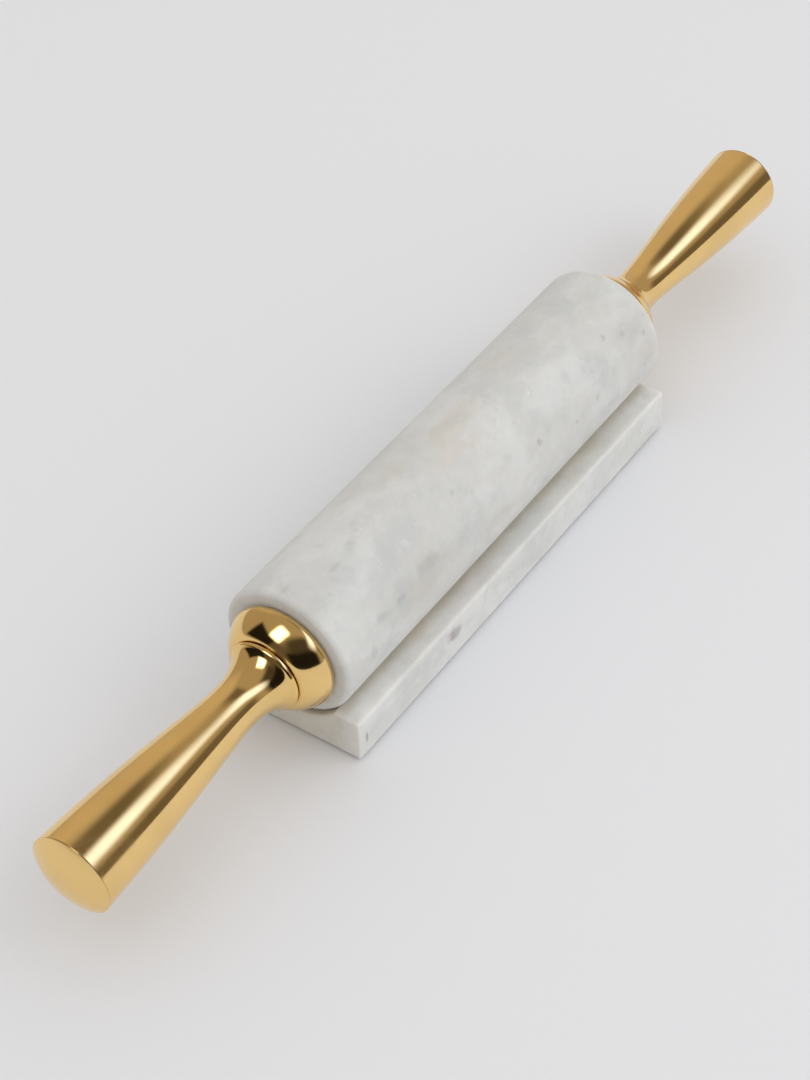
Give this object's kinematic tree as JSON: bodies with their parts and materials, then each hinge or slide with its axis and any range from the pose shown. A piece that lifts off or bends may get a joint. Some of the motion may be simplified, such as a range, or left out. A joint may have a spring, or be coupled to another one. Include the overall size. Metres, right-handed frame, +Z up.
{
  "type": "rolling pin",
  "caption": "Rolling pin with a marble roller that turns between tapered metal handles, lying in the round groove of a marble cradle stand.",
  "frame": {"origin": "on the resting surface, midway along the pin's overall length and under its axis", "axes": "+X along the pin's axis, +Y across the stand, +Z up"},
  "size_m": [0.457, 0.058, 0.0651],
  "materials": {
    "roller_marble": "honed white marble with soft grey clouds",
    "stand_marble": "honed white marble",
    "polished_brass": "mirror polished, gold coloured",
    "steel": "turned, zinc plated",
    "nylon": "natural nylon",
    "foot_pad": "soft grey pad"
  },
  "bodies": {
    "stand": {"marble_stand": "stand_marble", "stand_foot_left_front": "foot_pad", "stand_foot_left_back": "foot_pad", "stand_foot_right_front": "foot_pad", "stand_foot_right_back": "foot_pad"},
    "core": {"axle_rod": "steel", "thrust_washer_left": "steel", "lock_nut_left": "steel", "neck_insert_left": "steel", "handle_grip_left": "polished_brass", "end_cap_left": "polished_brass", "thrust_washer_right": "steel", "lock_nut_right": "steel", "neck_insert_right": "steel", "handle_grip_right": "polished_brass", "end_cap_right": "polished_brass"},
    "roller": {"marble_roller": "roller_marble", "bell_collar_left": "polished_brass", "nylon_bush_left": "nylon", "bell_collar_right": "polished_brass", "nylon_bush_right": "nylon"}
  },
  "joints": [
    {"name": "pin_lift", "type": "slide", "parent": "stand", "child": "core", "axis": [0, 0, 1], "range_m": [0, 0.08]},
    {"name": "roller_spin", "type": "hinge", "parent": "core", "child": "roller", "pos_m": [0, 0, 0.0381], "axis": [1, 0, 0], "continuous": true}
  ]
}
